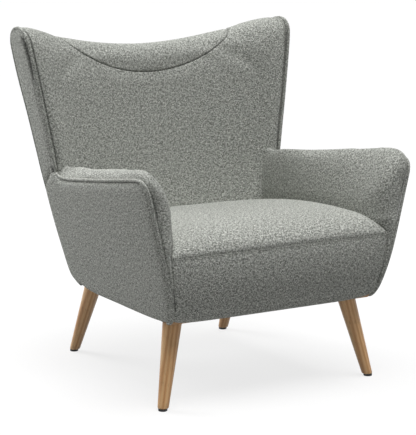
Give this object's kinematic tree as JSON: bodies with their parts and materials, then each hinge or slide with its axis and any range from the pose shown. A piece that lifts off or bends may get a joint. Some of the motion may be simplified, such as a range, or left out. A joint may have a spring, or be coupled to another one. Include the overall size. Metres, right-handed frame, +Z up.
{
  "type": "accent chair",
  "caption": "Upholstered wing-back accent chair: curved padded back with wings, sloping arms, tight crowned seat and splayed tapered wooden legs.",
  "frame": {"origin": "on the floor under the middle of the chair's box", "axes": "+Z up, the front faces -Y, +X to the right of someone facing the chair"},
  "size_m": [0.7958, 0.7729, 0.8837],
  "materials": {
    "upholstery": "grey basket-woven upholstery cloth",
    "piping": "the same grey cloth sewn round a cord",
    "oak": "satin clear-coated oak",
    "frame_timber": "sawn hardwood",
    "foam": "open-cell cushion foam under polyester wadding",
    "webbing": "elastic upholstery webbing",
    "dust_cloth": "black nonwoven dust cloth",
    "steel": "zinc-plated steel",
    "glide_plastic": "black moulded plastic"
  },
  "bodies": {
    "root": {"back_pad": "foam", "back_rail": "frame_timber", "back_top_rail": "frame_timber", "back_webbing": "webbing", "corner_blocks": "frame_timber", "dust_cover": "dust_cloth", "front_border": "upholstery", "front_border_pad": "foam", "front_rail": "frame_timber", "glide_nails": "steel", "hanger_bolts": "steel", "head_panel": "upholstery", "inside_back_cover": "upholstery", "left_arm_pad": "foam", "left_arm_rail": "frame_timber", "left_arm_welt": "piping", "left_back_post": "frame_timber", "left_front_glide": "glide_plastic", "left_front_leg": "oak", "left_front_post": "frame_timber", "left_inside_arm_cover": "upholstery", "left_outside_arm_panel": "upholstery", "left_outside_wing_panel": "upholstery", "left_rear_glide": "glide_plastic", "left_rear_leg": "oak", "left_side_rail": "frame_timber", "left_wing_welt": "piping", "lumbar_rail": "frame_timber", "outside_back_cover": "upholstery", "right_arm_pad": "foam", "right_arm_rail": "frame_timber", "right_arm_welt": "piping", "right_back_post": "frame_timber", "right_front_glide": "glide_plastic", "right_front_leg": "oak", "right_front_post": "frame_timber", "right_inside_arm_cover": "upholstery", "right_outside_arm_panel": "upholstery", "right_outside_wing_panel": "upholstery", "right_rear_glide": "glide_plastic", "right_rear_leg": "oak", "right_side_rail": "frame_timber", "right_wing_welt": "piping", "seat_cover": "upholstery", "seat_foam": "foam", "seat_springs": "steel", "spring_clips": "steel", "tee_nuts": "steel"}
  },
  "joints": []
}
